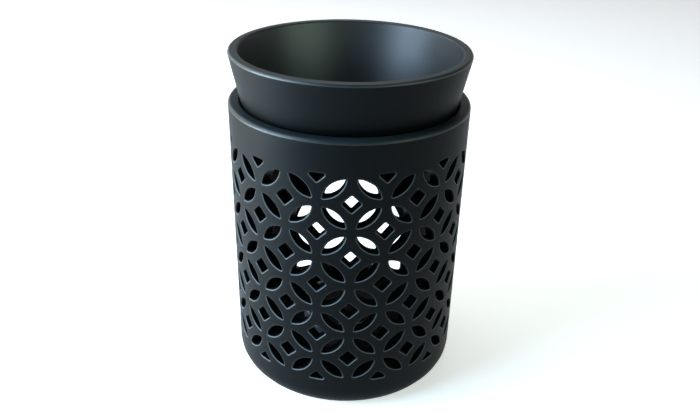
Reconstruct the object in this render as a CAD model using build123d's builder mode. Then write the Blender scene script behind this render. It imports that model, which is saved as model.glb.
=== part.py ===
from build123d import *

import os
from math import asin, atan2, cos, degrees, hypot, radians, sin, tan

# Essential oil burner: a pierced ceramic body, an oil bowl that hangs in its mouth, and a tea light.
# Millimetres, +Z up. The origin is on the table, under the axis of the body. The pierced front
# faces -Y, and the arch that the tea light goes in through faces +Y.

# Body: a straight round wall on a floor, with a foot ring under it
body_radius = 47.5
body_height = 118.8
body_wall = 4.8
floor_thickness = 6.0
base_corner_radius = 8.5
floor_corner_radius = 4.0
rim_outer_round = 1.4
rim_inner_round = 1.2
foot_ring_width = 6.0
foot_recess_depth = 1.2
foot_recess_draft = 1.0

# Piercing: petals round the crossings of a diagonal net, and a diamond in each opening of the net.
# The band of net goes round the front half, between a plain foot and a plain collar.
column_width = 12.6
row_height = 11.38
band_bottom = 15.3
collar_height = 12.0
net_half_angle = 90
net_turn = 3.4
petal_length = 11.5
petal_width = 4.2
petal_tip_round = 0.3
diamond_width = 7.1
diamond_height = 6.9
diamond_corner_round = 0.5

# Arch at the back
arch_width = 52.4
arch_sill = 13.2
arch_spring = 36.8
arch_corner_round = 3.0
arch_edge_round = 1.0

# Bowl: a cone with a rounded bottom, which hangs by its side on the inner edge of the body's rim
bowl_rim_inset = 0.6
bowl_rise = 19.6
bowl_drop = 19.0
bowl_wall = 3.8
bowl_floor = 4.5
bowl_outer_corner = 10.0
bowl_inner_corner = 9.0
bowl_rim_outer_round = 1.1
bowl_rim_inner_round = 1.0
seat_gap = 0.2

# Tea light: a drawn aluminium cup with a bead round its rim, wax, and a wick held by a tab
cup_rim_radius = 18.6
cup_base_radius = 18.2
cup_height = 16.0
cup_thickness = 0.3
cup_corner_radius = 1.5
cup_bead_radius = 0.4
wax_height = 12.8
wax_dish = 0.6
wax_edge_round = 0.5
wax_gap = 0.1
tab_radius = 6.5
tab_thickness = 0.3
tab_neck_radius = 1.4
tab_neck_height = 3.0
wick_radius = 0.75
wick_straight = 3.0
wick_bend_radius = 9.0
wick_bend_angle = 22
wick_gap = 0.1

cut_overrun = 2.0

# Sizes and places that follow from those above
inner_radius = body_radius - body_wall
foot_recess_radius = body_radius - base_corner_radius - foot_ring_width
column_angle = degrees(column_width / body_radius)
net_side_columns = round(net_half_angle / column_angle)
net_rows = int((body_height - collar_height - band_bottom) / row_height)
petal_slope = degrees(atan2(row_height, column_width))
arch_radius = arch_width / 2
bowl_rim_radius = body_radius - bowl_rim_inset
bowl_top = body_height + bowl_rise
bowl_bottom = body_height - bowl_drop
wax_bottom = floor_thickness + cup_thickness
cup_flare_share = (cup_rim_radius - cup_base_radius) / cup_height

# The bowl's cone runs from its rim past the round inner edge of the body's rim, a seat gap clear of it
rim_reach = bowl_rim_radius - (inner_radius + rim_inner_round)
rim_lift = bowl_top - (body_height - rim_inner_round)
seat_angle = asin((rim_inner_round + seat_gap) / hypot(rim_reach, rim_lift))
bowl_flare_share = tan(atan2(rim_reach, rim_lift) + seat_angle)


def corner(sketch, radius, height):
    """The corner of a half section that lies nearest to that radius and height."""
    return sketch.vertices().sort_by_distance((radius, height, 0))[0]


def net_plane(column, row):
    """The plane of a hole at that column and row of the net: just outside the wall, facing outwards."""
    azimuth = radians(net_turn + column * column_angle)
    outward = Vector(sin(azimuth), -cos(azimuth), 0)
    along = Vector(cos(azimuth), sin(azimuth), 0)
    rise = Vector(0, 0, band_bottom + row * row_height)
    return Plane(outward * (body_radius + cut_overrun) + rise, x_dir=along, z_dir=outward)


# One petal: a pointed oval between two arcs, with its points a little rounded
with BuildSketch() as petal:
    petal_tips = [(-petal_length / 2, 0), (petal_length / 2, 0)]
    with BuildLine():
        ThreePointArc(petal_tips[0], (0, petal_width / 2), petal_tips[1])
        ThreePointArc(petal_tips[1], (0, -petal_width / 2), petal_tips[0])
    make_face()
    fillet(petal.vertices(), radius=petal_tip_round)

# The diamond's corners, in order round it
east = (diamond_width / 2, 0)
north = (0, diamond_height / 2)
west = (-diamond_width / 2, 0)
south = (0, -diamond_height / 2)

# Where the net's holes lie, counted in columns from the middle of the front and in rows from the bottom.
# The net's crossings are the points whose column and row make an even sum, so petals run from one
# even point to the next, diamonds lie on the odd points, and the band's edges cut diamonds in half.
side = net_side_columns
cells = [(column, row) for column in range(-side, side) for row in range(net_rows)]
inner_columns = range(1 - side, side)
inner_rows = range(1, net_rows)
rising = [net_plane(c + 1 / 2, r + 1 / 2) for c, r in cells if (c + r) % 2 == 0]
falling = [net_plane(c + 1 / 2, r + 1 / 2) for c, r in cells if (c + r) % 2 == 1]
hole_groups = [
    ((east, north, west, south), [net_plane(c, r) for c in inner_columns for r in inner_rows if (c + r) % 2]),
    ((east, north, west), [net_plane(c, 0) for c in inner_columns if c % 2]),
    ((west, south, east), [net_plane(c, net_rows) for c in inner_columns if (c + net_rows) % 2]),
    ((south, east, north), [net_plane(-side, r) for r in inner_rows if (side + r) % 2]),
    ((north, west, south), [net_plane(side, r) for r in inner_rows if (side + r) % 2]),
]

# Burner body
with BuildPart() as burner_body:
    # Wall, floor and foot ring, turned from one half section
    with BuildSketch(Plane.XZ) as body_section:
        with BuildLine():
            Polyline(
                (0, foot_recess_depth),
                (foot_recess_radius - foot_recess_draft, foot_recess_depth),
                (foot_recess_radius, 0),
                (body_radius, 0),
                (body_radius, body_height),
                (inner_radius, body_height),
                (inner_radius, floor_thickness),
                (0, floor_thickness),
                close=True,
            )
        make_face()
        fillet(corner(body_section, body_radius, 0), radius=base_corner_radius)
        fillet(corner(body_section, body_radius, body_height), radius=rim_outer_round)
        fillet(corner(body_section, inner_radius, body_height), radius=rim_inner_round)
        fillet(corner(body_section, inner_radius, floor_thickness), radius=floor_corner_radius)
    revolve(axis=Axis.Z)
    # Arch for the tea light, cut straight back through the wall, with softened edges
    with BuildSketch(Plane.XZ) as arch:
        with BuildLine():
            sides_and_sill = Polyline(
                (arch_radius, arch_spring),
                (arch_radius, arch_sill),
                (-arch_radius, arch_sill),
                (-arch_radius, arch_spring),
            )
            ThreePointArc(sides_and_sill @ 1, (0, arch_spring + arch_radius), sides_and_sill @ 0)
        make_face()
        fillet(arch.vertices().group_by(Axis.Y)[0], radius=arch_corner_round)
    extrude(amount=-(body_radius + cut_overrun), mode=Mode.SUBTRACT)
    arch_edges = burner_body.edges(Select.LAST).filter_by(Axis.Y, reverse=True)
    fillet(arch_edges, radius=arch_edge_round)
    # Piercings
    hole_depth = body_wall + 2 * cut_overrun
    with BuildSketch(*rising):
        add(petal.sketch, rotation=petal_slope)
    with BuildSketch(*falling):
        add(petal.sketch, rotation=-petal_slope)
    extrude(amount=-hole_depth, mode=Mode.SUBTRACT)
    for hole_corners, hole_planes in hole_groups:
        with BuildSketch(*hole_planes) as hole:
            with BuildLine():
                Polyline(*hole_corners, close=True)
            make_face()
            fillet(hole.vertices(), radius=diamond_corner_round)
        extrude(amount=-hole_depth, mode=Mode.SUBTRACT)

# Oil bowl
with BuildPart() as oil_bowl:
    outer_foot_radius = bowl_rim_radius - (bowl_top - bowl_bottom) * bowl_flare_share
    inner_rim_radius = bowl_rim_radius - bowl_wall
    inner_foot_radius = inner_rim_radius - (bowl_top - bowl_bottom - bowl_floor) * bowl_flare_share
    with BuildSketch(Plane.XZ) as bowl_section:
        with BuildLine():
            Polyline(
                (0, bowl_bottom),
                (outer_foot_radius, bowl_bottom),
                (bowl_rim_radius, bowl_top),
                (inner_rim_radius, bowl_top),
                (inner_foot_radius, bowl_bottom + bowl_floor),
                (0, bowl_bottom + bowl_floor),
                close=True,
            )
        make_face()
        fillet(corner(bowl_section, outer_foot_radius, bowl_bottom), radius=bowl_outer_corner)
        fillet(corner(bowl_section, bowl_rim_radius, bowl_top), radius=bowl_rim_outer_round)
        fillet(corner(bowl_section, inner_rim_radius, bowl_top), radius=bowl_rim_inner_round)
        fillet(corner(bowl_section, inner_foot_radius, bowl_bottom + bowl_floor), radius=bowl_inner_corner)
    revolve(axis=Axis.Z)

# Tea light's cup
with BuildPart() as tealight_cup:
    cup_top = floor_thickness + cup_height
    bead_height = cup_top - cup_bead_radius
    with BuildSketch(Plane.XZ) as cup_section:
        with BuildLine():
            Polyline(
                (0, floor_thickness),
                (cup_base_radius, floor_thickness),
                (cup_rim_radius, bead_height),
                (cup_rim_radius - cup_thickness, bead_height),
                (cup_base_radius - cup_thickness, wax_bottom),
                (0, wax_bottom),
                close=True,
            )
        make_face()
        fillet(corner(cup_section, cup_base_radius, floor_thickness), radius=cup_corner_radius)
        fillet(
            corner(cup_section, cup_base_radius - cup_thickness, wax_bottom),
            radius=cup_corner_radius - cup_thickness,
        )
        with Locations((cup_rim_radius, bead_height)):
            Circle(cup_bead_radius)
    revolve(axis=Axis.Z)

# Tab that holds the wick: a thin disc with a short neck
with BuildPart() as wick_tab:
    with BuildSketch(Plane.XY.offset(wax_bottom)):
        Circle(tab_radius)
    extrude(amount=tab_thickness)
    with BuildSketch(Plane.XY.offset(wax_bottom)):
        Circle(tab_neck_radius)
    extrude(amount=tab_neck_height)
    Hole(wick_radius + wick_gap)

# Wax, cast round the tab and the wick, and dished towards the wick
with BuildPart() as tealight_wax:
    wax_top = wax_bottom + wax_height
    wax_base_radius = cup_base_radius - cup_thickness - wax_gap
    wax_top_radius = wax_base_radius + wax_height * cup_flare_share
    wick_hole_radius = wick_radius + wick_gap
    tab_space_radius = tab_radius + wax_gap
    tab_space_top = wax_bottom + tab_thickness + wax_gap
    neck_space_radius = tab_neck_radius + wax_gap
    neck_space_top = wax_bottom + tab_neck_height + wax_gap
    with BuildSketch(Plane.XZ) as wax_section:
        with BuildLine():
            Polyline(
                (tab_space_radius, wax_bottom),
                (wax_base_radius, wax_bottom),
                (wax_top_radius, wax_top),
                (wick_hole_radius, wax_top - wax_dish),
                (wick_hole_radius, neck_space_top),
                (neck_space_radius, neck_space_top),
                (neck_space_radius, tab_space_top),
                (tab_space_radius, tab_space_top),
                close=True,
            )
        make_face()
        fillet(corner(wax_section, wax_base_radius, wax_bottom), radius=cup_corner_radius)
        fillet(corner(wax_section, wax_top_radius, wax_top), radius=wax_edge_round)
    revolve(axis=Axis.Z)

# Wick: upright through the tab and the wax, with its free end bent over a little
with BuildPart() as tealight_wick:
    bend_height = wax_top - wax_dish + wick_straight
    with BuildLine(Plane.XZ) as wick_path:
        upright = Line((0, wax_bottom), (0, bend_height))
        JernArc(start=upright @ 1, tangent=upright % 1, radius=wick_bend_radius, arc_size=-wick_bend_angle)
    with BuildSketch(Plane.XY.offset(wax_bottom)):
        Circle(wick_radius)
    sweep(path=wick_path.wires()[0])

pieces = {
    "burner_body": burner_body,
    "oil_bowl": oil_bowl,
    "tealight_cup": tealight_cup,
    "wick_tab": wick_tab,
    "tealight_wax": tealight_wax,
    "tealight_wick": tealight_wick,
}
os.makedirs("parts", exist_ok=True)
for name, piece in pieces.items():
    piece.part.label = name
    export_step(piece.part, f"parts/{name}.step")
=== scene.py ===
from math import asin, atan2, cos, degrees, exp, hypot, pi, radians, sin, tan

import bmesh
import bpy
from mathutils import Matrix, Vector


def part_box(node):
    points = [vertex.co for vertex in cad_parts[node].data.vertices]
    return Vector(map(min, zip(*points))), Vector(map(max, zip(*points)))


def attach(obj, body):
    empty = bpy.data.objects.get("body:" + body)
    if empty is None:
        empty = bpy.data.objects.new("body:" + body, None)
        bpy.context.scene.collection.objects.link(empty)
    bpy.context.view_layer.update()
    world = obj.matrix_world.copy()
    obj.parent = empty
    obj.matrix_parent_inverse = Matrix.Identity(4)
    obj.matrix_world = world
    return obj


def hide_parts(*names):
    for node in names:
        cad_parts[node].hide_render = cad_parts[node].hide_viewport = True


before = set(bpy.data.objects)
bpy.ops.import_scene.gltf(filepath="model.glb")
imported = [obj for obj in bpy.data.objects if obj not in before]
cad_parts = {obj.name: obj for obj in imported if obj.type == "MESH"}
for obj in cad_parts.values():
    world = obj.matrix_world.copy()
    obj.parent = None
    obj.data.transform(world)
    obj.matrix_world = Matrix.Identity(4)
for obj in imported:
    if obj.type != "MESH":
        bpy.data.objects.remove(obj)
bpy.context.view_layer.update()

# Essential oil burner in satin black glaze: a pierced body, a loose bowl and a tea light.
# Sizes are in millimetres and become metres through mm. The frame gives the main ones.
mm = 0.001
body_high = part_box("burner_body")[1]
bowl_low, bowl_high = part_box("oil_bowl")
cup_low, cup_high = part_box("tealight_cup")
wax_low, wax_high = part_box("tealight_wax")
wick_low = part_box("tealight_wick")[0]

# Body
body_radius = body_high.x / mm
body_height = body_high.z / mm
body_wall = 4.8
inner_radius = body_radius - body_wall
floor_height = cup_low.z / mm
base_corner_radius = 8.5
floor_corner_radius = 4.0
rim_outer_round = 1.4
rim_inner_round = 1.2
foot_ring_inside = 33.0
foot_recess_depth = 1.2
foot_recess_slant = 1.0
foot_edge_round = 0.5

# The net of piercings, its columns and rows counted from crossing to crossing
column_width = 12.6
row_height = 11.38
band_bottom = 15.3
net_rows = 8
net_side_columns = 6
net_turn = 3.4
petal_length = 11.5
petal_width = 4.2
petal_tip_round = 0.3
petal_side_steps = 9
petal_tip_steps = 5
diamond_width = 7.1
diamond_height = 6.9
diamond_corner_round = 0.5
diamond_corner_steps = 4
hole_edge_round = 0.6
# The glaze is thin on the lip of a hole, between these shares of its edge's rounding. The lip is
# painted paler there, partly for the thin glaze and partly as a painted highlight where it faces up
lip_start = 0.05
lip_end = 0.3

# The tea light's arch. The wall's cut edges run straight back within the near turn from the back,
# and towards the axis beyond the far turn
arch_half_width = 26.2
arch_sill = 13.2
arch_spring = 36.8
arch_corner_round = 3.0
arch_near_turn = 38.0
arch_far_turn = 60.0
arch_top_steps = 40
arch_corner_steps = 6

# The wall between floor and rim, as it is unrolled
wall_sides = 144
wall_bottom = floor_height + floor_corner_radius
wall_top = body_height - rim_outer_round
seam_azimuth = -100
border_margin = 0.01
straight_margin = 0.1

# How near points lie to each other, or to a surface, to count as one with it
turned_weld = 0.002
rolled_weld = 0.003
joined_weld = 0.004
flat_weld = 0.01
upright_snap = 0.02
on_surface = 0.01

# Bowl: sizes as in the solid, its cone clear of the body's rim by the seat gap
bowl_top = bowl_high.z / mm
bowl_bottom = bowl_low.z / mm
bowl_rim_radius = 46.9
bowl_flare = 12.027
bowl_wall = 3.8
bowl_floor = 4.5
bowl_outer_corner = 10.0
bowl_inner_corner = 9.0
bowl_rim_outer_round = 1.1
bowl_rim_inner_round = 1.0

# Cup
cup_base = cup_low.z / mm
cup_top = cup_high.z / mm
cup_thickness = 0.3
cup_base_radius = 18.2
cup_rim_radius = 18.6
cup_bead_radius = 0.4
cup_bead_start = -85
cup_bead_end = 210
cup_bead_steps = 12
cup_corner_radius = 1.5

# Wax, with the spaces in it for the wick, the tab and the tab's neck
wax_base = wax_low.z / mm
wax_top = wax_high.z / mm
wax_gap = 0.1
wax_base_radius = cup_base_radius - cup_thickness - wax_gap
wax_top_radius = wax_high.x / mm
wax_edge_round = 0.4
wax_flat_edge = 1.2
wax_dish = 0.6
wax_dish_drop = 0.12
wax_dish_steps = 12
wax_climb = 0.35
wax_climb_reach = 0.9
tab_space_radius = 6.6
tab_space_height = 0.4
neck_space_radius = 1.5
neck_space_height = 3.1
wick_hole_radius = 0.85

# Wick
wick_base = wick_low.z / mm
wick_radius = 0.75
wick_waist = 0.72
wick_strands = 3
strand_sides = 8
wick_pitch = 4.2
wick_step = 0.25
wick_straight_rise = 3.0
wick_straight_top = wax_top - wax_dish + wick_straight_rise
wick_bend_radius = 9.0
wick_bend_turn = 22
wick_length = wick_straight_top - wick_base + radians(wick_bend_turn) * wick_bend_radius


# Nodes

def hex_colour(code):
    """A colour written as sRGB hex, as the linear RGBA that a node takes."""
    channels = [int(code[i : i + 2], 16) / 255 for i in (1, 3, 5)]
    linear = [c / 12.92 if c <= 0.04045 else ((c + 0.055) / 1.055) ** 2.4 for c in channels]
    return (*linear, 1.0)


def add_node(tree, kind, sockets=None, **settings):
    """Adds a node with its settings. Its sockets are set to values or joined to other nodes."""
    node = tree.nodes.new(kind)
    for key, value in settings.items():
        setattr(node, key, value)
    for key, value in (sockets or {}).items():
        if isinstance(value, bpy.types.NodeSocket):
            tree.links.new(value, node.inputs[key])
        else:
            node.inputs[key].default_value = value
    return node


def new_material(name):
    """An empty material, with its node tree and the Object coordinates that its textures take."""
    material = bpy.data.materials.new(name)
    material.use_nodes = True
    tree = material.node_tree
    tree.nodes.clear()
    return material, tree, add_node(tree, "ShaderNodeTexCoord").outputs["Object"]


def surface(tree, sockets):
    """The material's shader, with its sockets set or joined, and the output."""
    shader = add_node(tree, "ShaderNodeBsdfPrincipled", sockets)
    add_node(tree, "ShaderNodeOutputMaterial", {"Surface": shader.outputs["BSDF"]})


def stretched(tree, place, scale):
    """Coordinates for a grain that runs long where its scale is small."""
    return add_node(tree, "ShaderNodeMapping", {"Vector": place, "Scale": scale}).outputs["Vector"]


def noise(tree, place, size, detail, roughness=0.5):
    """Clouds or grain of about that size in millimetres."""
    sockets = {"Vector": place, "Scale": 1 / (size * mm), "Detail": detail, "Roughness": roughness}
    return add_node(tree, "ShaderNodeTexNoise", sockets).outputs["Fac"]


def blend(tree, share, first, second):
    """A colour between two, each of them in hex or another node's output."""
    first, second = (hex_colour(c) if isinstance(c, str) else c for c in (first, second))
    mix = add_node(tree, "ShaderNodeMix", {0: share, 6: first, 7: second}, data_type="RGBA")
    return mix.outputs[2]


def ranged(tree, value, low, high, start=0, end=1, **settings):
    """From low to high while the value goes from start to end, and level on either side."""
    sockets = {"Value": value, "From Min": start, "From Max": end, "To Min": low, "To Max": high}
    return add_node(tree, "ShaderNodeMapRange", sockets, **settings).outputs["Result"]


def worked_out(tree, operation, first, second):
    """What a sum on two values comes to."""
    sum_node = add_node(tree, "ShaderNodeMath", {0: first, 1: second}, operation=operation)
    return sum_node.outputs["Value"]


def relief(tree, height, strength, depth, under=None):
    """A bumpy skin of that depth in millimetres, over another one if it is given."""
    sockets = {"Height": height, "Strength": strength, "Distance": depth * mm}
    if under is not None:
        sockets["Normal"] = under
    return add_node(tree, "ShaderNodeBump", sockets).outputs["Normal"]


# Turned pieces

def start_from_nothing():
    """Leaves edit mode and lets go of everything, so that the next operator has its piece alone."""
    if bpy.context.object and bpy.context.object.mode != "OBJECT":
        bpy.ops.object.mode_set(mode="OBJECT")
    bpy.ops.object.select_all(action="DESELECT")


def pick_outside(piece, radius):
    """In edit mode, selects the vertices farther than the radius from the axis, and no others."""
    mesh = bmesh.from_edit_mesh(piece.data)
    bpy.ops.mesh.select_all(action="DESELECT")
    bpy.ops.mesh.select_mode(type="VERT")
    for vertex in mesh.verts:
        vertex.select = hypot(vertex.co.x, vertex.co.y) / mm > radius
    mesh.select_flush(True)
    bmesh.update_edit_mesh(piece.data)


def draw_along(profile):
    """Extrudes the selected ring along a half section, and closes it if it ends on the axis."""
    for (radius, height), (next_radius, next_height) in zip(profile, profile[1:]):
        rise = (0, 0, (next_height - height) * mm)
        bpy.ops.mesh.extrude_region_move(TRANSFORM_OT_translate={"value": rise})
        if next_radius == 0:
            bpy.ops.mesh.merge(type="CENTER")
        else:
            scale = next_radius / radius
            centre = (0, 0, next_height * mm)
            bpy.ops.transform.resize(value=(scale, scale, 1), center_override=centre)


def rounded(corners, steps=6):
    """A half section from corners of (radius, height, rounding), with arcs at the rounded ones."""
    points = []
    for i, (radius, height, rounding) in enumerate(corners):
        here = Vector((radius, height))
        if not rounding:
            points.append(tuple(here))
            continue
        before = (Vector(corners[i - 1][:2]) - here).normalized()
        after = (Vector(corners[i + 1][:2]) - here).normalized()
        half_angle = before.angle(after) / 2
        centre = here + (before + after).normalized() * rounding / sin(half_angle)
        start = here + before * rounding / tan(half_angle) - centre
        end = here + after * rounding / tan(half_angle) - centre
        turn = start.angle_signed(end)
        for step in range(steps + 1):
            arm = Matrix.Rotation(-turn * step / steps, 2) @ start
            points.append(tuple(centre + arm))
    return points


def turned(name, corners, sides=144, steps=6):
    """A turned piece: a ring drawn along a half section, from the axis or round to its start."""
    start_from_nothing()
    profile = rounded(corners, steps)
    closed_at_axis = profile[0][0] == 0
    if closed_at_axis:
        profile = profile[1:]
    radius, height = profile[0]
    bpy.ops.mesh.primitive_circle_add(
        vertices=sides,
        radius=radius * mm,
        location=(0, 0, height * mm),
        fill_type="TRIFAN" if closed_at_axis else "NOTHING",
    )
    piece = bpy.context.object
    piece.name = piece.data.name = name
    bpy.ops.object.transform_apply()
    bpy.ops.object.mode_set(mode="EDIT")
    pick_outside(piece, radius / 2)
    draw_along(profile)
    bpy.ops.mesh.select_all(action="SELECT")
    bpy.ops.mesh.remove_doubles(threshold=turned_weld * mm)
    bpy.ops.mesh.normals_make_consistent(inside=False)
    bpy.ops.object.mode_set(mode="OBJECT")
    return piece


def smooth(piece):
    """Smooth shading that leaves wide faces flat between their rounded edges."""
    start_from_nothing()
    piece.select_set(True)
    bpy.context.view_layer.objects.active = piece
    bpy.ops.object.shade_smooth()
    weights = piece.modifiers.new("even_shading", "WEIGHTED_NORMAL")
    weights.keep_sharp = False
    bpy.ops.object.modifier_apply(modifier=weights.name)


# Outlines of the holes on the unrolled wall, where x is the way round and y is the height

def arc(centre, radius, start, end, steps):
    """Points along an arc, with angles in degrees."""
    angles = [radians(start + (end - start) * step / steps) for step in range(steps + 1)]
    return [(centre[0] + radius * cos(a), centre[1] + radius * sin(a)) for a in angles]


def petal_outline(spread):
    """A pointed oval between two arcs with rounded points, larger all round by the spread."""
    half_length = petal_length / 2
    half_width = petal_width / 2
    side_radius = (half_length**2 + half_width**2) / petal_width
    side_offset = side_radius - half_width
    tip_offset = ((side_radius - petal_tip_round) ** 2 - side_offset**2) ** 0.5
    lean = degrees(atan2(side_offset, tip_offset))
    side = side_radius + spread
    tip = petal_tip_round + spread
    return (
        arc((0, -side_offset), side, lean, 180 - lean, petal_side_steps)[:-1]
        + arc((-tip_offset, 0), tip, 180 - lean, 180 + lean, petal_tip_steps)[:-1]
        + arc((0, side_offset), side, 180 + lean, 360 - lean, petal_side_steps)[:-1]
        + arc((tip_offset, 0), tip, -lean, lean, petal_tip_steps)[:-1]
    )


def diamond_outline(corners, spread):
    """A diamond or half of one, its corners anticlockwise and rounded, larger by the spread."""
    points = []
    for i, corner in enumerate(corners):
        here = Vector(corner)
        before = (Vector(corners[i - 1]) - here).normalized()
        after = (Vector(corners[(i + 1) % len(corners)]) - here).normalized()
        half_angle = before.angle(after) / 2
        centre = here + (before + after).normalized() * diamond_corner_round / sin(half_angle)
        start = degrees(atan2(-before.x, before.y)) + 180
        sweep = 180 - 2 * degrees(half_angle)
        rounding = diamond_corner_round + spread
        points += arc(centre, rounding, start, start + sweep, diamond_corner_steps)
    return points


def arch_outline(spread):
    """The tea light's arch as it shows on the outside: straight sides under a half circle."""
    corner = arch_half_width - arch_corner_round
    low = arch_sill + arch_corner_round
    rounding = arch_corner_round + spread
    points = (
        arc((0, arch_spring), arch_half_width + spread, 0, 180, arch_top_steps)
        + arc((-corner, low), rounding, 180, 270, arch_corner_steps)
        + arc((corner, low), rounding, 270, 360, arch_corner_steps)
    )
    return [(body_radius * (pi + asin(x / body_radius)), y) for x, y in points]


def net_outlines(spread):
    """Every hole of the net: petals between crossings, diamonds, and half diamonds at its edges."""
    slope = atan2(row_height, column_width)
    petal = [Vector(p) for p in petal_outline(spread)]
    east = (diamond_width / 2, 0)
    north = (0, diamond_height / 2)
    west = (-diamond_width / 2, 0)
    south = (0, -diamond_height / 2)
    side = net_side_columns
    outlines = []

    def put(shape, column, row):
        x = radians(net_turn) * body_radius + column * column_width
        y = band_bottom + row * row_height
        outlines.append([(x + px, y + py) for px, py in shape])

    for column in range(-side, side):
        for row in range(net_rows):
            turn = Matrix.Rotation(slope if (column + row) % 2 == 0 else -slope, 2)
            put([turn @ p for p in petal], column + 0.5, row + 0.5)
    for column in range(-side, side + 1):
        for row in range(net_rows + 1):
            if (column + row) % 2 == 0:
                continue
            past_edge = {
                east: column == side,
                north: row == net_rows,
                west: column == -side,
                south: row == 0,
            }
            corners = [corner for corner, past in past_edge.items() if not past]
            put(diamond_outline(corners, spread), column, row)
    return outlines


# The body's wall, made flat in millimetres and then rolled up

def cut_upright(mesh, faces, step, first, last):
    """Cuts the faces along upright lines between two sides of the wall, the middle line first."""
    if last - first < 2:
        return
    middle = (first + last) // 2
    line = radians(seam_azimuth) * body_radius + middle * step
    edges = {edge for face in faces for edge in face.edges}
    corners = {corner for face in faces for corner in face.verts}
    cut = bmesh.ops.bisect_plane(
        mesh,
        geom=faces + list(edges) + list(corners),
        dist=upright_snap,
        plane_co=(line, 0, 0),
        plane_no=(1, 0, 0),
    )
    cut_faces = [part for part in cut["geom"] if isinstance(part, bmesh.types.BMFace)]
    left_of_line = [face for face in cut_faces if face.calc_center_median().x < line]
    right_of_line = [face for face in cut_faces if face.calc_center_median().x > line]
    cut_upright(mesh, left_of_line, step, first, middle)
    cut_upright(mesh, right_of_line, step, middle, last)


def flat_wall():
    """The wall unrolled: a filled curve with its holes, thick as the wall, hole edges rounded."""
    start_from_nothing()
    sheet = bpy.data.curves.new("unrolled_wall", "CURVE")
    sheet.dimensions = "2D"
    sheet.fill_mode = "BOTH"
    sheet.extrude = body_wall / 2 - hole_edge_round
    sheet.bevel_depth = hole_edge_round
    sheet.bevel_resolution = 2
    left = radians(seam_azimuth) * body_radius
    right = left + 2 * pi * body_radius
    border = [(left, wall_bottom), (right, wall_bottom), (right, wall_top), (left, wall_top)]
    for outline in [border, arch_outline(hole_edge_round)] + net_outlines(hole_edge_round):
        spline = sheet.splines.new("POLY")
        spline.points.add(len(outline) - 1)
        spline.use_cyclic_u = True
        for point, (x, y) in zip(spline.points, outline):
            point.co = (x, y, 0, 1)
    wall = bpy.data.objects.new("burner_wall", sheet)
    bpy.context.collection.objects.link(wall)
    bpy.context.view_layer.objects.active = wall
    wall.select_set(True)
    bpy.ops.object.convert(target="MESH")
    wall = bpy.context.object
    bpy.ops.object.mode_set(mode="EDIT")
    bpy.ops.mesh.select_all(action="SELECT")
    bpy.ops.mesh.remove_doubles(threshold=flat_weld)
    mesh = bmesh.from_edit_mesh(wall.data)

    def on_border(face):
        middle = face.calc_center_median()
        between_ends = left + border_margin < middle.x < right - border_margin
        between_rims = wall_bottom + border_margin < middle.y < wall_top - border_margin
        return not (between_ends and between_rims)

    border_faces = [face for face in mesh.faces if on_border(face)]
    bmesh.ops.delete(mesh, geom=border_faces, context="FACES")
    cut_upright(mesh, mesh.faces[:], (right - left) / wall_sides, 0, wall_sides)
    # Marks the lips that are painted paler: partly thin glaze, partly a painted highlight on the
    # lips that face up.
    lip_glaze_and_highlight = mesh.verts.layers.float.new("thin_glaze_and_highlight")
    for vertex in mesh.verts:
        drop = (body_wall / 2 - abs(vertex.co.z)) / hole_edge_round
        vertex[lip_glaze_and_highlight] = 1 if vertex.co.z > 0 and lip_start < drop < lip_end else 0
    bmesh.update_edit_mesh(wall.data)
    return wall


def roll_up(wall):
    """Rolls the flat wall round the axis. Its holes run in to the axis, the arch straight back."""
    mesh = bmesh.from_edit_mesh(wall.data)
    for vertex in mesh.verts:
        radius = body_radius - body_wall / 2 + vertex.co.z
        azimuth = vertex.co.x / body_radius
        from_back = azimuth - pi
        reach = (arch_far_turn - abs(degrees(from_back))) / (arch_far_turn - arch_near_turn)
        if reach > 0 and wall_bottom + straight_margin < vertex.co.y < wall_top - straight_margin:
            reach = min(1, reach)
            fade = reach * reach * (3 - 2 * reach)
            azimuth += (asin(body_radius * sin(from_back) / radius) - from_back) * fade
        vertex.co = Vector((radius * sin(azimuth), -radius * cos(azimuth), vertex.co.y)) * mm
    bmesh.update_edit_mesh(wall.data)
    bpy.ops.mesh.select_all(action="SELECT")
    bpy.ops.mesh.remove_doubles(threshold=rolled_weld * mm)


def join(first, *others):
    """Joins pieces into the first and merges the seams where they meet."""
    start_from_nothing()
    for piece in (first, *others):
        piece.select_set(True)
    bpy.context.view_layer.objects.active = first
    bpy.ops.object.join()
    bpy.ops.object.mode_set(mode="EDIT")
    bpy.ops.mesh.select_all(action="SELECT")
    bpy.ops.mesh.remove_doubles(threshold=joined_weld * mm)
    bpy.ops.object.mode_set(mode="OBJECT")
    return first


def even_cylinder(piece, outer, inner, low, high):
    """Points the shading of a pierced round wall's two faces straight out and straight in."""
    mesh = piece.data
    normals = [Vector() for _ in mesh.vertices]
    for polygon in mesh.polygons:
        for loop in polygon.loop_indices:
            normals[mesh.loops[loop].vertex_index] += mesh.corner_normals[loop].vector
    for vertex in mesh.vertices:
        radius = hypot(vertex.co.x, vertex.co.y) / mm
        if not low <= vertex.co.z / mm <= high:
            continue
        if abs(radius - outer) < on_surface:
            normals[vertex.index] = Vector((vertex.co.x, vertex.co.y, 0))
        elif abs(radius - inner) < on_surface:
            normals[vertex.index] = Vector((-vertex.co.x, -vertex.co.y, 0))
    mesh.normals_split_custom_set_from_vertices([normal.normalized() for normal in normals])


# The pieces

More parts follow.
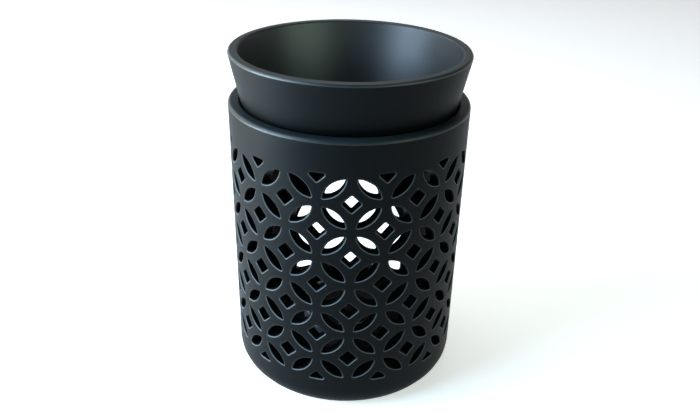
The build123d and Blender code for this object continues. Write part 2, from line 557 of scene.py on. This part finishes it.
def burner_body():
    """The ceramic body: the pierced wall, its rim, and the floor and foot under it."""
    wall = flat_wall()
    roll_up(wall)
    rim = turned(
        "rim",
        [
            (body_radius, wall_top, 0),
            (body_radius, body_height, rim_outer_round),
            (inner_radius, body_height, rim_inner_round),
            (inner_radius, wall_top, 0),
        ],
    )
    foot = turned(
        "foot",
        [
            (body_radius, wall_bottom, 0),
            (body_radius, 0, base_corner_radius),
            (foot_ring_inside, 0, foot_edge_round),
            (foot_ring_inside - foot_recess_slant, foot_recess_depth, foot_edge_round),
            (0, foot_recess_depth, 0),
        ],
    )
    floor = turned(
        "floor",
        [
            (inner_radius, wall_bottom, 0),
            (inner_radius, floor_height, floor_corner_radius),
            (0, floor_height, 0),
        ],
    )
    body = join(wall, rim, foot, floor)
    body.name = body.data.name = "pierced_body"
    bpy.ops.object.mode_set(mode="EDIT")
    bpy.ops.mesh.select_all(action="SELECT")
    bpy.ops.mesh.normals_make_consistent(inside=False)
    bpy.ops.object.mode_set(mode="OBJECT")
    smooth(body)
    even_cylinder(body, body_radius, inner_radius, base_corner_radius, wall_top)
    return body


def oil_bowl():
    """The loose bowl: a cone with a rounded bottom and a rounded rim."""
    slope = tan(radians(bowl_flare))
    inner_rim = bowl_rim_radius - bowl_wall
    inside_bottom = bowl_bottom + bowl_floor
    bowl = turned(
        "glazed_bowl",
        [
            (0, bowl_bottom, 0),
            (bowl_rim_radius - (bowl_top - bowl_bottom) * slope, bowl_bottom, bowl_outer_corner),
            (bowl_rim_radius, bowl_top, bowl_rim_outer_round),
            (inner_rim, bowl_top, bowl_rim_inner_round),
            (inner_rim - (bowl_top - inside_bottom) * slope, inside_bottom, bowl_inner_corner),
            (0, inside_bottom, 0),
        ],
        sides=192,
        steps=8,
    )
    smooth(bowl)
    return bowl


def tealight_cup():
    """The drawn aluminium cup: a thin wall with a bead rolled round its rim."""
    bead_centre = (cup_rim_radius, cup_top - cup_bead_radius)
    bead = arc(bead_centre, cup_bead_radius, cup_bead_start, cup_bead_end, cup_bead_steps)
    inner_base = cup_base + cup_thickness
    cup = turned(
        "drawn_cup",
        [
            (0, cup_base, 0),
            (cup_base_radius, cup_base, cup_corner_radius),
            *((radius, height, 0) for radius, height in bead),
            (cup_base_radius - cup_thickness, inner_base, cup_corner_radius - cup_thickness),
            (0, inner_base, 0),
        ],
        sides=96,
        steps=5,
    )
    smooth(cup)
    return cup


def cast_wax():
    """The wax, cast round tab and wick: dished by shrinkage, drawn up where it wets the wick."""
    dish = []
    for step in range(wax_dish_steps + 1):
        across = 1 - step / wax_dish_steps
        radius = wick_hole_radius + (wax_top_radius - wax_flat_edge - wick_hole_radius) * across
        sag = wax_dish * (1 - across**2) + wax_dish_drop
        climb = wax_climb * exp(-(radius - wick_hole_radius) / wax_climb_reach)
        dish.append((radius, wax_top - sag + climb, 0))
    tab_space_top = wax_base + tab_space_height
    neck_space_top = wax_base + neck_space_height
    wax = turned(
        "cast_wax",
        [
            (tab_space_radius, wax_base, 0),
            (wax_base_radius, wax_base, cup_corner_radius),
            (wax_top_radius, wax_top, wax_edge_round),
            *dish,
            (wick_hole_radius, neck_space_top, 0),
            (neck_space_radius, neck_space_top, 0),
            (neck_space_radius, tab_space_top, 0),
            (tab_space_radius, tab_space_top, 0),
            (tab_space_radius, wax_base, 0),
        ],
        sides=96,
        steps=5,
    )
    smooth(wax)
    return wax


def braided_wick():
    """The cotton wick: strands laid round each other, cut square, and bent over at its free end."""
    start_from_nothing()
    bpy.ops.mesh.primitive_circle_add(
        vertices=wick_strands * strand_sides,
        radius=wick_radius * mm,
        location=(0, 0, wick_base * mm),
        fill_type="TRIFAN",
    )
    wick = bpy.context.object
    wick.name = wick.data.name = "cotton_wick"
    bpy.ops.object.transform_apply()
    bpy.ops.object.mode_set(mode="EDIT")
    mesh = bmesh.from_edit_mesh(wick.data)
    for vertex in mesh.verts:
        lobe = abs(cos(wick_strands / 2 * atan2(vertex.co.y, vertex.co.x)))
        share = wick_waist + (1 - wick_waist) * lobe
        vertex.co.x *= share
        vertex.co.y *= share
    bmesh.update_edit_mesh(wick.data)
    pick_outside(wick, wick_radius / 2)
    steps = round(wick_length / wick_step)
    rise = wick_length / steps
    for step in range(1, steps + 1):
        bpy.ops.mesh.extrude_region_move(TRANSFORM_OT_translate={"value": (0, 0, rise * mm)})
        bpy.ops.transform.rotate(
            value=2 * pi * rise / wick_pitch,
            orient_axis="Z",
            center_override=(0, 0, (wick_base + wick_length * step / steps) * mm),
        )
    bpy.ops.mesh.extrude_region_move(TRANSFORM_OT_translate={"value": (0, 0, 0)})
    bpy.ops.mesh.merge(type="CENTER")
    mesh = bmesh.from_edit_mesh(wick.data)
    for vertex in mesh.verts:
        beyond = vertex.co.z / mm - wick_straight_top
        if beyond > 0:
            turn = beyond / wick_bend_radius
            arm = wick_bend_radius - vertex.co.x / mm
            vertex.co.x = (wick_bend_radius - arm * cos(turn)) * mm
            vertex.co.z = (wick_straight_top + arm * sin(turn)) * mm
    bmesh.update_edit_mesh(wick.data)
    bpy.ops.mesh.select_all(action="SELECT")
    bpy.ops.mesh.normals_make_consistent(inside=False)
    bpy.ops.object.mode_set(mode="OBJECT")
    smooth(wick)
    return wick


body = burner_body()
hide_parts("burner_body")
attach(body, "burner")

bowl = oil_bowl()
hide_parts("oil_bowl")
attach(bowl, "bowl")

cup = tealight_cup()
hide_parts("tealight_cup")
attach(cup, "tealight")

wax = cast_wax()
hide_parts("tealight_wax")
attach(wax, "tealight")

wick = braided_wick()
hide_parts("tealight_wick")
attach(wick, "tealight")


# Materials

def satin_glaze(
    name, rim_height, tones=("#020507", "#05090b"), gloss=0.07, roughness=0.5, flow=0.15
):
    """Black glaze fired on slip-cast stoneware: a deep black under a soft, uneven satin sheen.

    The glaze pools in slow clouds. On the rim, and on the lip of each piercing where it ran off,
    it is thinner and breaks to a paler grey, and both are painted paler still as a painted
    highlight:
    the rim towards its top, and the lips most where they face up. Its skin undulates a little where
    it flowed, with a fine pitted grain. Tones are those of deep and shallow glaze, and flow is how
    far it undulates.
    """
    material, tree, place = new_material(name)
    pooling = noise(tree, place, size=18, detail=3, roughness=0.55)
    grain = noise(tree, place, size=0.7, detail=2, roughness=0.6)
    tone = blend(tree, pooling, *tones)

    # Paler towards the top of each rim: partly thinner glaze, partly a painted highlight for the
    # light the rim catches from above.
    height = add_node(tree, "ShaderNodeSeparateXYZ", {"Vector": place}).outputs["Z"]
    rim_thinning_and_highlight_from = (rim_height - 1.6) * mm
    rim_thinning_and_highlight_to = (rim_height - 0.1) * mm
    rim_thinning_and_highlight = ranged(tree, height, low=0, high=0.3, start=rim_thinning_and_highlight_from, end=rim_thinning_and_highlight_to)
    tone = blend(tree, rim_thinning_and_highlight, tone, "#2c3639")

    # The lips are paler all round for thin glaze, and a painted highlight makes the lips that face
    # up paler still, as if lit from above.
    lip = add_node(tree, "ShaderNodeAttribute", attribute_name="thin_glaze_and_highlight").outputs["Fac"]
    facing = add_node(tree, "ShaderNodeNewGeometry").outputs["Normal"]
    upward = add_node(tree, "ShaderNodeSeparateXYZ", {"Vector": facing}).outputs["Z"]
    painted_light_from_above = ranged(tree, upward, low=0.12, high=1, start=-0.3, end=0.6)
    tone = blend(tree, worked_out(tree, "MULTIPLY", lip, painted_light_from_above), tone, "#697073")

    smoothest = roughness - 0.04
    roughest = roughness + 0.04
    ripple = relief(tree, pooling, strength=flow, depth=0.4)
    surface(tree, {
        "Base Color": tone,
        "Roughness": ranged(tree, grain, low=smoothest, high=roughest, start=0.3, end=0.7),
        "Normal": relief(tree, grain, strength=0.12, depth=0.05, under=ripple),
        "IOR": 1.5,
        "Specular IOR Level": gloss,
    })
    return material


def drawn_aluminium():
    """Thin aluminium pressed in a die: dull, with faint draw lines and a slightly buckled wall."""
    material, tree, place = new_material("drawn_aluminium")
    lines = noise(tree, stretched(tree, place, (1, 1, 40)), size=12, detail=3)
    dents = noise(tree, place, size=6, detail=1)
    buckle = relief(tree, dents, strength=0.3, depth=0.2)
    surface(tree, {
        # The grey is darker than bare aluminium: painted shade, keeping the cup dim inside the dark
        # body.
        "Base Color": blend(tree, lines, "#9fa1a3", "#babcbe"),
        "Roughness": ranged(tree, lines, low=0.3, high=0.5),
        "Normal": relief(tree, lines, strength=0.15, depth=0.02, under=buckle),
        "Metallic": 1,
    })
    return material


def cast_paraffin():
    """Paraffin wax, poured hot and left to set: mottled and dull, with a faint bloom. Its
    near-black is painted shade, as dark as the shade inside the body.
    """
    material, tree, place = new_material("cast_paraffin")
    crystals = add_node(tree, "ShaderNodeTexVoronoi", {"Vector": place, "Scale": 1 / (1.6 * mm)})
    clouds = noise(tree, place, size=5, detail=3)
    waves = relief(tree, clouds, strength=0.3, depth=0.3)
    frost = relief(tree, crystals.outputs["Distance"], strength=0.12, depth=0.05, under=waves)
    surface(tree, {
        # Near-black tones: painted shade, matching the shade inside the body.
        "Base Color": blend(tree, clouds, "#161417", "#221f23"),
        "Roughness": ranged(tree, clouds, low=0.42, high=0.6),
        "Normal": frost,
        "IOR": 1.43,
        "Specular IOR Level": 0.2,
    })
    return material


def waxed_cotton():
    """Cotton yarn stiffened with wax: off-white, dull, with fine fibres along the strands."""
    material, tree, place = new_material("waxed_cotton_yarn")
    fibres = noise(tree, stretched(tree, place, (1, 1, 0.25)), size=0.12, detail=2)
    surface(tree, {
        "Base Color": blend(tree, fibres, "#d8d1bf", "#f0ebdd"),
        "Roughness": ranged(tree, fibres, low=0.6, high=0.85),
        "Normal": relief(tree, fibres, strength=0.5, depth=0.06),
        "Sheen Weight": 0.2,
    })
    return material


def tinned_steel():
    """Tinned sheet steel punched into a wick holder: grey, half bright, with a rolled grain."""
    material, tree, place = new_material("tinned_sheet_steel")
    grain = noise(tree, stretched(tree, place, (0.05, 1, 1)), size=0.3, detail=2)
    surface(tree, {
        "Base Color": blend(tree, grain, "#a9abad", "#c6c8ca"),
        "Roughness": ranged(tree, grain, low=0.28, high=0.45),
        "Normal": relief(tree, grain, strength=0.2, depth=0.02),
        "Metallic": 1,
    })
    return material


def put_on(piece, *materials):
    """Gives a piece its materials, the first of them on every face until it is given another."""
    piece.data.materials.clear()
    for material in materials:
        piece.data.materials.append(material)


# Rims and the inside of the bowl are glossier than the outside, which is the first glaze. Their
# paler tones are painted light, for the light that falls on them
body_rim = 1
bowl_inside = 1
bowl_rim = 2
facing_up = 0.9
painted_lit_tones = ("#12191b", "#192022")
put_on(
    body,
    satin_glaze("satin_black_glaze_body", body_height),
    # The body rim's paler tones are painted light, for the light that falls on the rim.
    satin_glaze(
        "satin_black_glaze_body_rim",
        body_height,
        tones=("#131a1e", "#1a2226"),
        gloss=0.3,
        roughness=0.4,
        flow=0.5,
    ),
)
for face in body.data.polygons:
    if face.center.z > wall_top * mm:
        face.material_index = body_rim
put_on(
    bowl,
    satin_glaze("satin_black_glaze_bowl", bowl_top),
    satin_glaze(
        "satin_black_glaze_bowl_inside", bowl_top, tones=painted_lit_tones, gloss=0.8, roughness=0.42
    ),
    satin_glaze(
        "satin_black_glaze_bowl_rim", bowl_top, tones=painted_lit_tones, gloss=0.5, roughness=0.4, flow=0.5
    ),
)
for face in bowl.data.polygons:
    outward = Vector((face.center.x, face.center.y, 0))
    looks_in = face.normal.dot(outward) < 0 or face.normal.z > facing_up
    if face.center.z > (bowl_top - bowl_rim_outer_round) * mm:
        face.material_index = bowl_rim
    elif looks_in and face.center.z > (bowl_bottom + bowl_floor / 2) * mm:
        face.material_index = bowl_inside
put_on(cup, drawn_aluminium())
put_on(wax, cast_paraffin())
put_on(wick, waxed_cotton())
put_on(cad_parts["wick_tab"], tinned_steel())


# Floor and room, pale where they are seen or mirrored, with next to no light of their own.
# The room is pale below one angle over the horizon and dim above another, each given as its sine.
pale_glow = 0.52
dim_glow = 0.03
faint_light = 0.02
pale_below = 0.15
dim_above = 0.4
table_size = 60


def seen_or_mirrored(tree):
    """1 for rays from the eye and for what gloss and glass show, 0 for light on other things."""
    ray = add_node(tree, "ShaderNodeLightPath").outputs
    seen = worked_out(tree, "MAXIMUM", ray["Is Camera Ray"], ray["Is Glossy Ray"])
    return worked_out(tree, "MAXIMUM", seen, ray["Is Transmission Ray"])


def white_laminate():
    """White laminate, matt, with a faint speckle and a glow that keeps it white to the eye."""
    material, tree, place = new_material("white_matt_laminate")
    speckle = noise(tree, place, size=3, detail=2)
    surface(tree, {
        "Base Color": blend(tree, speckle, "#f4f4f3", "#f8f8f8"),
        "Emission Color": (1, 1, 1, 1),
        "Emission Strength": worked_out(tree, "MULTIPLY", seen_or_mirrored(tree), pale_glow),
        "Roughness": 0.8,
        "Specular IOR Level": 0.2,
    })
    return material


def plain_room():
    """The room round the table: pale at eye level and dim overhead."""
    world = bpy.data.worlds.new("plain_room")
    world.use_nodes = True
    tree = world.node_tree
    direction = add_node(tree, "ShaderNodeTexCoord").outputs["Generated"]
    upward = add_node(tree, "ShaderNodeSeparateXYZ", {"Vector": direction}).outputs["Z"]
    paleness = ranged(
        tree,
        upward,
        low=pale_glow,
        high=dim_glow,
        start=pale_below,
        end=dim_above,
        interpolation_type="SMOOTHSTEP",
    )
    glow = worked_out(tree, "MULTIPLY", seen_or_mirrored(tree), paleness)
    background = tree.nodes["Background"]
    background.inputs["Color"].default_value = hex_colour("#ffffff")
    tree.links.new(worked_out(tree, "ADD", glow, faint_light), background.inputs["Strength"])
    return world


start_from_nothing()
bpy.ops.mesh.primitive_plane_add(size=table_size, location=(0, 0, 0))
table = bpy.context.object
table.name = "pale_table"
put_on(table, white_laminate())
bpy.context.scene.world = plain_room()


# Lamps, in metres

def soft_light(name, place, target, width, height, strength, colour):
    """A soft box: a flat lamp of that size, aimed at a point, with the strength as its radiance."""
    lamp = bpy.data.lights.new(name, "AREA")
    lamp.shape = "RECTANGLE"
    lamp.size = width
    lamp.size_y = height
    lamp.energy = strength * pi * width * height
    lamp.color = hex_colour(colour)[:3]
    holder = bpy.data.objects.new(name, lamp)
    bpy.context.collection.objects.link(holder)
    holder.location = place
    holder.rotation_euler = (Vector(target) - Vector(place)).to_track_quat("-Z", "Y").to_euler()
    holder.visible_camera = False


net_middle = (0, 0, 0.07)
bowl_seat = (0, 0, 0.11)
candle = (0, 0, 0.05)
# Each lamp's name, place, target, width, height, strength and colour.
# Low lamps light the body's left side, and lie too low to reach into the bowl
soft_light("low_left", (-0.408, -0.036, 0.07), net_middle, 0.3, 0.14, 10, "#fff3e1")
soft_light("low_left_front", (-0.385, -0.14, 0.07), net_middle, 0.3, 0.14, 20, "#c3ecff")
# Higher lamps in front give the inside of the bowl its two soft streaks
soft_light("high_left_front", (-0.515, -0.187, 0.364), bowl_seat, 0.46, 0.3, 14, "#c3e0ff")
soft_light("high_right_front", (0.45, -0.327, 0.345), bowl_seat, 0.5, 0.3, 2.7, "#dfffe8")
# Lamps at the left, behind and overhead light the rims and the table
soft_light("high_left", (-0.49, 0.043, 0.464), bowl_seat, 0.4, 0.3, 1.5, "#f2fff8")
soft_light("left_behind", (-0.693, 0.485, 0.428), bowl_seat, 0.5, 0.4, 3, "#f2fff8")
soft_light("ceiling", (-0.1, 0.45, 0.95), candle, 0.8, 0.8, 1.65, "#ffffff")


# The camera, worked out from the outlines and the piercings in the photograph
camera_distance = 273.33
camera_height = 211.15
camera_azimuth = 1.43
camera_pitch = 27.6254
camera_yaw = 0.2635
camera_roll = -1.4043
focal_pixels = 722.96
frame_width = 700

lens = bpy.data.cameras.new("camera")
lens.sensor_fit = "HORIZONTAL"
lens.sensor_width = 36
lens.lens = focal_pixels * lens.sensor_width / frame_width
lens.clip_start = 0.01
lens.clip_end = 200
camera = bpy.data.objects.new("camera", lens)
bpy.context.collection.objects.link(camera)
around = Matrix.Rotation(radians(camera_azimuth), 3, "Z")
pitch = radians(camera_pitch)
yaw = radians(camera_yaw)
roll = radians(camera_roll)
forward = around @ Vector((sin(yaw) * cos(pitch), cos(yaw) * cos(pitch), -sin(pitch)))
right = around @ Vector((cos(yaw), -sin(yaw), 0))
down = forward.cross(right)
image_right = cos(roll) * right + sin(roll) * down
image_down = -sin(roll) * right + cos(roll) * down
axes = Matrix((image_right, -image_down, -forward)).transposed()
place = around @ Vector((0, -camera_distance, camera_height)) * mm
camera.matrix_world = Matrix.Translation(place) @ axes.to_4x4()
bpy.context.scene.camera = camera
bpy.context.scene.view_settings.view_transform = "Standard"
